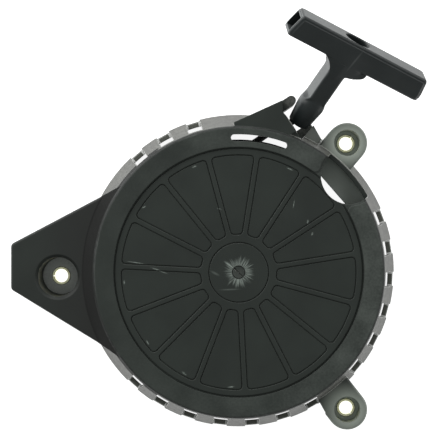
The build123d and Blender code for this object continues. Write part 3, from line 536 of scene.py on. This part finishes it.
# %% [markdown]
# ## Metals
# The bolt sleeves are rolled strip, plated with yellow zinc. The screw, washer, pawls and springs
# are steel. Turned or rolled metal carries fine lines, so the noise is squeezed along one
# direction, and the plating's tint drifts slowly between straw and green.


# %% Metal recipe and its five finishes
def metal(name, base, tint, dull, rough, squeeze, scale, bare=1.0):
    """A tinted metal: slow colour drift, squeezed brush lines, dull patches and edge shine. Bare is
    below 1 where a film of plating scatters light."""
    f = Finish(name)
    drift = f.noise(170.0, 3.0)
    lines = f.noise(scale, 3.0, f.joined(*[p * k for p, k in zip(f.parts(f.place), squeeze)]))
    patch = f.noise(420.0, 5.0).step(0.5, 0.72)
    rounded, edge = f.edges(0.0002, 0.03, 0.3)
    colour = f.mix(drift.step(0.3, 0.7), base, tint)
    colour = f.mix(patch * 0.6, colour, dull)
    colour = f.mix(edge * 0.4, colour, (0.92, 0.90, 0.84))
    rough_now = rough + lines * 0.16 + patch * 0.2
    normal = f.bump(lines, 0.25, 0.00003, rounded)
    return f.surface(Base_Color=colour, Metallic=bare - patch * 0.25, Roughness=rough_now, Normal=normal)


METALS = {
    "zinc_steel": ((0.97, 0.95, 0.60), (0.95, 0.96, 0.70), (0.80, 0.77, 0.42), 0.10, (1, 1, 7), 700.0, 0.85),
    "eyelet_steel": ((0.62, 0.62, 0.60), (0.70, 0.69, 0.66), (0.30, 0.29, 0.27), 0.20, (1, 1, 4), 800.0),
    "screw_steel": ((0.075, 0.085, 0.078), (0.12, 0.13, 0.12), (0.040, 0.042, 0.040), 0.42, (1, 1, 6), 900.0),
    "spring_steel": ((0.24, 0.25, 0.28), (0.34, 0.33, 0.33), (0.10, 0.09, 0.08), 0.25, (1, 1, 12), 500.0),
    "pawl_steel": ((0.46, 0.46, 0.43), (0.55, 0.54, 0.48), (0.18, 0.17, 0.15), 0.30, (6, 1, 1), 600.0),
}
METAL_PIECES = {
    "zinc_steel": ["sleeve_left", "sleeve_upper", "sleeve_lower", "knot_washer"],
    "eyelet_steel": ["rope_eyelet"],
    "screw_steel": ["centre_screw", "thrust_washer"],
    "spring_steel": ["rewind_spring", "pawl_spring_1", "pawl_spring_2", "friction_spring"],
    "pawl_steel": ["pawl_1", "pawl_2"],
}
for name, recipe in METALS.items():
    paint(metal(name, *recipe), *METAL_PIECES[name])
print("metals painted:", len(METALS))

# %% [markdown]
# ## Surfaces from arrays
# Every new piece is a grid of points that numpy works out at once: rings round a path, or a
# profile carried along it. One helper turns the grid into a closed mesh with outward faces and
# another keeps smooth faces smooth while real creases stay crisp.


# %% Grid to mesh
def grid_object(name, points, material, body, crease=40.0, uv=None):
    """A closed tube from points[ring, step, xyz]. Each end is closed by a fan at its ring's middle.
    The faces are turned round if the volume, the sum of a . (b x c + c x d) / 6, is negative."""
    rings, steps, _ = points.shape
    flat = points.reshape(-1, 3)
    ring = np.arange(rings - 1)[:, None]
    step = np.arange(steps)[None, :]
    after = (step + 1) % steps
    near, far = ring * steps, (ring + 1) * steps
    quads = np.stack([near + step, near + after, far + after, far + step], axis=-1).reshape(-1, 4)
    faces = [tuple(q) for q in quads.tolist()]
    first, last = len(flat), len(flat) + 1
    flat = np.concatenate([flat, points[:1].mean(axis=1), points[-1:].mean(axis=1)])
    base = (rings - 1) * steps
    s = np.arange(steps)
    t = (s + 1) % steps
    first_fan = np.stack([np.full(steps, first), t, s], axis=-1)
    last_fan = np.stack([np.full(steps, last), base + s, base + t], axis=-1)
    faces += [tuple(f) for f in np.concatenate([first_fan, last_fan]).tolist()]
    a, b, c, d = (flat[quads[:, k]] for k in range(4))
    volume = (a * (np.cross(b, c) + np.cross(c, d))).sum() / 6
    if volume < 0:
        faces = [f[::-1] for f in faces]
    mesh = bpy.data.meshes.new(name)
    mesh.from_pydata(flat.tolist(), [], faces)
    mesh.validate()
    mesh.shade_smooth()
    mesh.set_sharp_from_angle(angle=math.radians(crease))
    if uv is not None:
        layer = mesh.uv_layers.new(name="along_and_round")
        corner = np.empty(len(mesh.loops), dtype=np.int64)
        mesh.loops.foreach_get("vertex_index", corner)
        capped = np.concatenate([uv.reshape(-1, 2), uv[0, :1], uv[-1, :1]])
        layer.data.foreach_set("uv", capped[corner].astype(np.float32).ravel())
    mesh.materials.append(material)
    made = bpy.data.objects.new(name, mesh)
    bpy.context.collection.objects.link(made)
    if body:
        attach(made, body)
    print(name, "faces:", len(faces))
    return made


def smooth(t):
    """A smooth rise from 0 to 1."""
    t = np.clip(t, 0.0, 1.0)
    return t * t * (3.0 - 2.0 * t)


# %% [markdown]
# ## The T-handle
# The grip is one moulding: a hollow bar, a web that flares out of the stem, and a tapered nose
# that plugs the rope's mouth. It could be joined from boxes, but the flares would keep hard
# seams. Here it is one surface: rings round the stem's line, from the floor of the knot's room,
# over the bar, down the stem and back up the rope's bore. A ring is a rounded rectangle that can
# turn into an ellipse, with its own reach to the left and to the right.

# %% The handle's own directions
EXIT = math.radians(34.3)
AZIMUTH = math.radians(55.4)
RISE = math.radians(24.4)
ROLL = math.radians(22.3)


def exit_point(reach, side, height):
    """A point given along the rope's way out and to its left, in millimetres."""
    c, s = math.cos(EXIT), math.sin(EXIT)
    return np.array([reach * c - side * s, reach * s + side * c, height])


nose = exit_point(67.8, 45.4, 14.8)
stem = np.array([math.cos(RISE) * math.cos(AZIMUTH), math.cos(RISE) * math.sin(AZIMUTH), math.sin(RISE)])
level = np.array([-math.sin(AZIMUTH), math.cos(AZIMUTH), 0.0])
bar = np.array(Matrix.Rotation(ROLL, 3, stem.tolist()) @ Matrix.Identity(3)) @ level
back = np.cross(bar, stem)
print("the bar rises by degrees:", round(math.degrees(math.asin(bar[2])), 1))

# %% The handle's finish
BAR_RIGHT_END = 0.098
CREST_LINE = ((0.0576, 0.1050), 50.5, 0.0085, 0.0007)


def painted_grip_light(f):
    """Painted light on the grip: its outer face, most at the left end, the stem's left flank, and a thin
    highlight line down the web's crest are painted paler where light falls on them. Each is found from the
    normal's share along the stem, the bar or the way to the front."""
    normal = f.node("ShaderNodeNewGeometry")["Normal"]

    def towards(direction):
        return f.dot(normal, tuple(float(d) for d in direction))

    patches = f.noise(70.0, 3.0).step(0.25, 0.75)
    x = f.parts(f.place)[0]
    outer = towards(stem).step(0.75, 0.98) * (patches * 0.4 + 0.2) * ((BAR_RIGHT_END - x) * 16.0)
    crest = f.spot(*CREST_LINE) * towards(-back).step(0.5, 0.7)
    return outer + towards(bar).step(0.80, 0.98) * 0.9 + crest * 0.45


GRIP_DARK, GRIP_LIGHT, GRIP_EDGE = (0.0110, 0.0155, 0.0160), (0.0165, 0.0215, 0.0220), (0.08, 0.09, 0.09)
grip_plastic = moulding("grip_plastic", GRIP_DARK, GRIP_LIGHT, 0.38, 4200.0, GRIP_EDGE, painted_grip_light)
print("grip finish:", grip_plastic.name)

# %% Steps round a ring
HALF_STEPS = np.array([0.0, 0.3, 0.6, 0.865, 0.875, 0.93, 1.0])
END_STEPS = np.concatenate([-HALF_STEPS[:0:-1], HALF_STEPS])
CLOSE_INSETS = [0, 0.3, 0.55, 0.75, 0.95, 1.15, 1.4, 1.9, 2.8, 4.2, 6.2, 8.8]
INSETS = np.array(CLOSE_INSETS + [12, 15.5, 19.5, 23.5, 27.5, 31.5, 35.2])
HALF_SIDE = 1.0 - INSETS / INSETS[-1]
SIDE_STEPS = np.concatenate([HALF_SIDE, -HALF_SIDE[:-1][::-1]])
CORNER = np.linspace(0.0, 90.0, 6)[1:-1]


def ring_points(left, right, half, corner, oval):
    """One ring on the x (bar) and z (depth) axes: a rounded rectangle from -right to left and of
    the given half depth, mixed by oval with the ellipse through the same four sides."""
    mid, wide = (left - right) / 2, (left + right) / 2
    ends = np.stack([np.full(END_STEPS.size, wide), END_STEPS * (half - corner)], axis=-1)
    sides = np.stack([SIDE_STEPS * (wide - corner), np.full(SIDE_STEPS.size, half)], axis=-1)
    angle = np.radians(CORNER)
    middle = np.array([wide - corner, half - corner])
    arc = middle + corner * np.stack([np.cos(angle), np.sin(angle)], axis=-1)
    upper = np.concatenate([ends, arc, sides, (arc * [-1, 1])[::-1]])
    square = np.concatenate([upper, -upper])
    turn = np.concatenate(
        [
            END_STEPS * 28.0,
            28.0 + CORNER / 90.0 * 12.0,
            90.0 - 50.0 * np.sign(SIDE_STEPS) * np.abs(SIDE_STEPS) ** 0.8,
            140.0 + CORNER / 90.0 * 12.0,
        ]
    )
    turn = np.radians(np.concatenate([turn, turn + 180.0]))
    ellipse = np.stack([wide * np.cos(turn), half * np.sin(turn)], axis=-1)
    ring = square * (1 - oval) + ellipse * oval
    ring[:, 0] += mid
    return ring


# %% The bar's sizes, in millimetres
OUTER, INNER, DEPTH = 53.4, 41.0, 6.3
LEFT_OUT, RIGHT_OUT = 75.0 / 2 - 5.8, 75.0 / 2 + 5.5
LEFT_IN, RIGHT_IN = 79.5 / 2 - 5.5, 79.5 / 2 + 5.5
EDGE, END_ROUND, ROUND_FROM, LEFT_SHARE = 1.3, 3.2, 45.0, 0.4
ROOM_FLOOR, ROOM, ROOM_DEPTH, ASIDE, MOUTH_EDGE = 44.4, 6.8, 4.4, 1.2, 0.7
rows = []


def row(height, left, right, half, corner, oval):
    """One ring of the profile: its height along the stem, then what ring_points needs."""
    rows.append((height, left, right, half, corner, oval))


def drawn_in(height):
    """How far the bar's ends draw in near its inner face: a quarter ellipse, 1 - sqrt(1 - t * t)."""
    t = min(max((ROUND_FROM - height) / (ROUND_FROM - INNER), 0.0), 1.0)
    return END_ROUND * (1 - math.sqrt(1 - t * t))


# %% Rings of the knot's room
for share in (0.1, 0.5, 0.9, 1.0):
    row(ROOM_FLOOR, ROOM * share - ASIDE, ROOM * share + ASIDE, ROOM_DEPTH * share, share, 1.0)
for height in (46.0, 49.0, 52.4):
    row(height, ROOM - ASIDE, ROOM + ASIDE, ROOM_DEPTH, 1.0, 1.0)
for angle in (0.0, 30.0, 60.0, 90.0):
    grow = MOUTH_EDGE * (1 - math.cos(math.radians(angle)))
    mouth = OUTER - MOUTH_EDGE + MOUTH_EDGE * math.sin(math.radians(angle))
    row(mouth, ROOM - ASIDE + grow, ROOM + ASIDE + grow, ROOM_DEPTH + grow * 0.6, 1.0, 1.0)
ROOM_ROWS = len(rows)

# %% Rings over the bar's outer face and down its sides
FLAT_FROM, FLAT_DEPTH = 7.5, 4.8
BESIDE_ENDS = (51.95, 51.8, 51.65, 51.5, 51.35, 51.25, 51.2, 49.0, 47.2, 45.4, 43.25, 43.2, 43.0, 42.3)

for share in (0.08, 0.2, 0.4, 0.6, 0.8, 0.92, 1.0):
    left = FLAT_FROM - ASIDE + share * (LEFT_OUT - EDGE - FLAT_FROM + ASIDE)
    right = FLAT_FROM + ASIDE + share * (RIGHT_OUT - EDGE - FLAT_FROM - ASIDE)
    row(OUTER, left, right, FLAT_DEPTH + share * (DEPTH - EDGE - FLAT_DEPTH), 1.0, 1.0 - share)
for angle in (15.0, 35.0, 55.0, 75.0, 90.0):
    out = EDGE * math.sin(math.radians(angle))
    down = EDGE * (1 - math.cos(math.radians(angle)))
    grown = (LEFT_OUT - EDGE + out, RIGHT_OUT - EDGE + out, DEPTH - EDGE + out)
    row(OUTER - down, *grown, 1.0 + out * 0.3, 0.0)
for height in BESIDE_ENDS:
    lean = (OUTER - height) / (OUTER - INNER)
    left = LEFT_OUT + lean * (LEFT_IN - LEFT_OUT) - drawn_in(height) * LEFT_SHARE
    right = RIGHT_OUT + lean * (RIGHT_IN - RIGHT_OUT) - drawn_in(height)
    row(height, left, right, DEPTH, 1.4, 0.0)
for angle in (20.0, 45.0, 70.0, 90.0):
    inward = EDGE * (1 - math.cos(math.radians(angle)))
    height = INNER + EDGE - EDGE * math.sin(math.radians(angle))
    pull = drawn_in(height)
    row(height, LEFT_IN - pull * LEFT_SHARE, RIGHT_IN - pull, DEPTH - inward, 1.4, 0.0)
print("rings so far:", len(rows))

# %% Rings of the web and the stem
WEB_LEFT, WEB_RIGHT, STEM, STEM_DEPTH, WEB_DROP = 8.6, 9.7, 4.7, 6.0, 5.4
DROPS = (0.0, 0.2, 0.5, 1.0, 1.6, 2.3, 3.0, 3.7, 4.3, 4.8, 5.2, 5.7, 6.4, 7.4, 8.6)
left_end, right_end = LEFT_IN - END_ROUND * LEFT_SHARE, RIGHT_IN - END_ROUND

for share in (0.15, 0.4, 0.7, 0.9, 0.98):
    left = left_end + share * (STEM + WEB_LEFT - left_end)
    right = right_end + share * (STEM + WEB_RIGHT - right_end)
    row(INNER, left, right, DEPTH - EDGE, 1.4, 0.0)
for drop in DROPS:
    left = STEM + WEB_LEFT - math.sqrt(WEB_LEFT**2 - (WEB_LEFT - min(drop, WEB_LEFT)) ** 2)
    bulge = min(drop / WEB_DROP, 1.0)
    right = STEM + WEB_RIGHT * math.sqrt(max(1 - bulge**2.4, 0.0)) ** 1.15
    depth = DEPTH - EDGE + (STEM_DEPTH - DEPTH + EDGE) * min(drop / 2.0, 1.0)
    row(INNER - drop, left, right, depth, 1.6, 0.0)
for height in (29.0, 25.0, 21.0, 18.6, 17.4):
    row(height, STEM, STEM, STEM_DEPTH, 1.3, 0.0)

# %% Rings of the nose and the rope's bore
NOSE_START, NOSE_SIZE, NOSE_RISE = 17.4, 6.8, 3.4
NOSE_BODY = ((13.2, 7.0), (11.5, 7.0), (8.0, 6.54), (4.0, 6.02))
NOSE_TIP = ((0.9, 5.6), (0.35, 5.45), (0.08, 5.2), (0.0, 4.95))
BORE = ((0.1, 4.7), (0.6, 4.5), (7.0, 3.4), (14.0, 2.25), (22.0, 2.2), (22.0, 1.0))

for share in (0.12, 0.3, 0.5, 0.7, 0.88, 1.0):
    rise = float(smooth(share))
    half = STEM + (NOSE_SIZE - STEM) * rise
    row(NOSE_START - NOSE_RISE * share, half, half, STEM_DEPTH + 0.8 * rise, 1.3 + 2.0 * rise, rise)
for height, radius in NOSE_BODY + NOSE_TIP:
    row(height, radius, radius, radius, 2.0, 1.0)
for height, radius in BORE:
    row(height, radius, radius, radius, 0.5, 1.0)
print("rings in all:", len(rows))

# %% The handle as one surface
RIDGE_HEIGHT, POCKET_DEPTH, FACE_END_ROW = 1.2, 20.0, 20
grip_rings = np.stack([ring_points(*r[1:]) for r in rows])
heights = np.repeat(np.array([r[0] for r in rows])[:, None], grip_rings.shape[1], axis=1)
local_x, local_z = grip_rings[..., 0], grip_rings[..., 1]
span = np.array([[r[1], r[2]] for r in rows])
row_number = np.arange(len(rows))[:, None]
bar_rows = (heights > 42.0) & (np.abs(local_z) > 5.0) & (row_number > ROOM_ROWS)
inset = np.minimum(np.minimum(span[:, :1] - local_x, local_x + span[:, 1:]), OUTER - heights)
pad = smooth((inset - 1.55) / 0.35)
local_z = np.where(bar_rows, np.sign(local_z) * (np.abs(local_z) - 0.45 * (1 - pad)), local_z)

# Over the web the bar's face runs on into the stem, so its lower edge is not rounded there.
past_room = row_number > FACE_END_ROW
joint = past_room & (heights < INNER + EDGE) & (heights > INNER - 6.0) & (np.abs(local_z) > 4.0)
flush = 1 - smooth((np.abs(local_x + 0.4) - (STEM + 3.2)) / 3.0)
thinner = STEM_DEPTH + (DEPTH - STEM_DEPTH) * smooth((heights - INNER + 6.0) / 6.0)
local_z = np.where(joint, local_z + (np.sign(local_z) * thinner - local_z) * flush, local_z)

# A low ridge runs down the middle of the front face and fades along the stem.
fade = smooth((heights - 29.0) / 7.0) * smooth((OUTER - 2.0 - heights) / 3.0)
ridge = np.clip(1 - np.abs(local_x) / 9.0, 0, 1) * fade
front = (local_z < -4.6) & past_room
local_z = local_z - np.where(front, RIDGE_HEIGHT * ridge, 0.0)

# The ends are hollow: the middle points of each end move inward, which makes two pockets.
steps = END_STEPS.size
at_left = np.zeros(grip_rings.shape[1], dtype=bool)
at_left[:steps] = np.abs(END_STEPS) < 0.87
at_right = np.roll(at_left, grip_rings.shape[1] // 2)
pocket = (heights > 43.19) & (heights < 51.21) & past_room
local_x = np.where(pocket & at_left, local_x - POCKET_DEPTH, local_x)
local_x = np.where(pocket & at_right, local_x + POCKET_DEPTH, local_x)
along = np.stack([local_x, heights, local_z], axis=-1) @ np.stack([bar, stem, back])
grip_points = (nose + along) / 1000
grip = grid_object("grip", grip_points, grip_plastic, "handle", crease=38.0)
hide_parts("handle_grip")

# %% [markdown]
# ## The rope
# Starter rope is a tight braid of eight pairs of yarns over a core, here black and a little
# fuzzy. The braid is a pattern in the material: two families of slanting yarns, read from the
# tube's own measure along and round itself. The tube itself follows the rope's real route.


# %% The braid
def braided_rope():
    """Two slanting families of yarns, read from the tube's own map: turns round in U, millimetres
    along in V. Where one family lies on top its crest is high, else the other's."""
    f = Finish("rope")
    turns, along, _ = f.parts(f.node("ShaderNodeUVMap", {"uv_map": "along_and_round"})["UV"])
    yarn_round = turns * (8.0 * math.tau)
    yarn_along = along * 1.15
    one = (yarn_along + yarn_round).sine()
    two = (yarn_along - yarn_round).sine()
    over = (one * two).step(-0.25, 0.25)
    crest = one * one * over + two * two * (1.0 - over)
    fuzz = f.noise(5200.0, 3.0)
    # Painted light on the braid: the yarns' crests are painted paler as a highlight and the grooves darker as
    # painted shade; the fuzz adds uneven tone.
    colour = f.mix(crest * 0.7 + fuzz * 0.3, (0.010, 0.010, 0.011), (0.060, 0.062, 0.060))
    normal = f.bump(crest * 0.8 + fuzz * 0.2, 0.8, 0.00025)
    return f.surface(Base_Color=colour, Roughness=0.80 + fuzz * 0.15, Normal=normal)


rope = braided_rope()


# %% A tube along a path
def tube(name, path, radius, body, material, sides=16):
    """Circles square to a path. Their sideways direction is carried from one point to the next by
    removing the part that lies along the path, so the tube never twists."""
    path = np.asarray(path, dtype=float)
    ahead = np.gradient(path, axis=0)
    ahead /= np.linalg.norm(ahead, axis=1)[:, None]
    side = np.cross(ahead[0], [0.0, 0.0, 1.0])
    side /= np.linalg.norm(side)
    sides_along = np.empty_like(path)
    for i, direction in enumerate(ahead):
        side = side - direction * side.dot(direction)
        side /= np.linalg.norm(side)
        sides_along[i] = side
    up = np.cross(ahead, sides_along)
    angle = np.arange(sides) / sides * math.tau
    circle = np.cos(angle)[None, :, None] * sides_along[:, None] + np.sin(angle)[None, :, None] * up[:, None]
    points = (path[:, None] + radius * circle) / 1000
    run = np.concatenate([[0.0], np.cumsum(np.linalg.norm(np.diff(path, axis=0), axis=1))])
    uv = np.stack(np.broadcast_arrays((np.arange(sides) / sides)[None, :], run[:, None]), axis=-1)
    print(name, "runs for mm:", round(float(run[-1]), 1))
    return grid_object(name, points, material, body, crease=180.0, uv=uv)


def rounded_path(corners, radius, spacing=0.8):
    """A route through corners with each corner eased by a curve that starts and ends radius away."""
    corners = [np.asarray(c, dtype=float) for c in corners]
    pieces = [corners[0][None]]
    for before, at, after in zip(corners, corners[1:], corners[2:]):
        into = at + (before - at) / np.linalg.norm(before - at) * radius
        out = at + (after - at) / np.linalg.norm(after - at) * radius
        t = np.linspace(0, 1, 14)[:, None]
        pieces.append((1 - t) ** 2 * into + 2 * t * (1 - t) * at + t**2 * out)
    pieces.append(corners[-1][None])
    rough_path = np.concatenate(pieces)
    run = np.concatenate([[0.0], np.cumsum(np.linalg.norm(np.diff(rough_path, axis=0), axis=1))])
    even = np.arange(0.0, run[-1], spacing)
    return np.stack([np.interp(even, run, rough_path[:, k]) for k in range(3)], axis=-1)


# %% The turns on the drum
HEIGHT = 13.9
HALF_TURNS, PITCH, FIRST, BEND = 7, 3.6, 49.6, 6.5
START = EXIT + math.pi / 2
turn = np.linspace(0.0, HALF_TURNS, HALF_TURNS * 110 + 1)
whole = np.minimum(np.floor(turn), HALF_TURNS - 1)
radius = FIRST - whole * PITCH / 2
shift = np.array([math.cos(START - math.pi), math.sin(START - math.pi)]) * PITCH / 2
centre = np.where((whole % 2 == 1)[:, None], shift, 0.0)
spin = START + turn * math.pi
flat_turns = centre + radius[:, None] * np.stack([np.cos(spin), np.sin(spin)], axis=-1)
reel_path = np.column_stack([flat_turns, np.full(turn.size, HEIGHT)])
end_angle = START + HALF_TURNS * math.pi
outward = np.array([math.cos(end_angle), math.sin(end_angle), 0.0])
onward = np.array([-math.sin(end_angle), math.cos(end_angle), 0.0])
bend_middle = outward * (FIRST - (HALF_TURNS - 1) * PITCH / 2 - BEND) + np.array([0, 0, HEIGHT])
bend = np.linspace(0, math.pi / 2, 16)[1:, None]
turned = bend_middle + BEND * (np.cos(bend) * outward + np.sin(bend) * onward)
reel_path = np.concatenate([reel_path, turned, turned[-1:] - outward * 1.2, turned[-1:] - outward * 2.4])
rope_reel = tube("rope_reel", reel_path, 1.75, "pulley", rope)
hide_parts("rope_winding")

# %% The run to the eyelet and the tail into the handle
eyelet_bend = exit_point(57.0, FIRST, HEIGHT)
nose_bend = exit_point(66.4, 47.2, HEIGHT + 0.3)
split = eyelet_bend + (nose_bend - eyelet_bend) * 0.45
run_path = rounded_path([exit_point(0, FIRST, HEIGHT), eyelet_bend, split], 2.5)
rope_run = tube("rope_run", run_path, 1.74, "housing", rope)
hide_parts("rope_lead")

tail_path = rounded_path(
    [eyelet_bend + (nose_bend - eyelet_bend) * 0.40, nose_bend, nose + stem * 11.0, nose + stem * 47.0], 3.6, 0.5
)
rope_tail = tube("rope_span", tail_path, 1.73, None, rope)
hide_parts("rope_tail")
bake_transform(rope_tail)


# %% [markdown]
# ## The knots
# The rope is held by a knot at each end: one inside the drum and one in the bar's room, on a
# washer. An overhand knot pulled tight looks like three fat lobes, which is the trefoil curve
# squeezed until its strands touch.


# %% Two tight knots
def knot(name, middle, axis, size, thick, body, node):
    """A tube along the trefoil: its radius swings three times while it goes round twice."""
    t = np.linspace(0.0, math.tau, 220, endpoint=False)
    first_way, second_way = np.sin(t) + 2 * np.sin(2 * t), np.cos(t) - 2 * np.cos(2 * t)
    curve = np.stack([first_way, second_way, -1.25 * np.sin(3 * t)], axis=-1) / 3.0 * (size - thick)
    along = np.array(axis) / np.linalg.norm(axis)
    first = np.cross(along, [0.0, 0.0, 1.0])
    first = first / np.linalg.norm(first) if np.linalg.norm(first) > 0.01 else np.array([1.0, 0.0, 0.0])
    second = np.cross(along, first)
    path = middle + curve[:, :1] * first + curve[:, 1:2] * second + curve[:, 2:] * along
    path = np.concatenate([path, path[:1]])
    made = tube(name, path, thick, body, rope, sides=14)
    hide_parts(node)


drum_place = np.append(turned[-1][:2] - outward[:2] * 3.5, 13.0)
knot("knot_in_drum", drum_place, (0, 0, 1), 2.75, 1.1, "pulley", "drum_knot")
knot("knot_in_bar", nose + stem * 48.6, stem, 3.6, 1.45, "handle", "handle_knot")

# %% Sizes
print("cad box:", [[round(float(v), 4) for v in c] for c in cad_box])
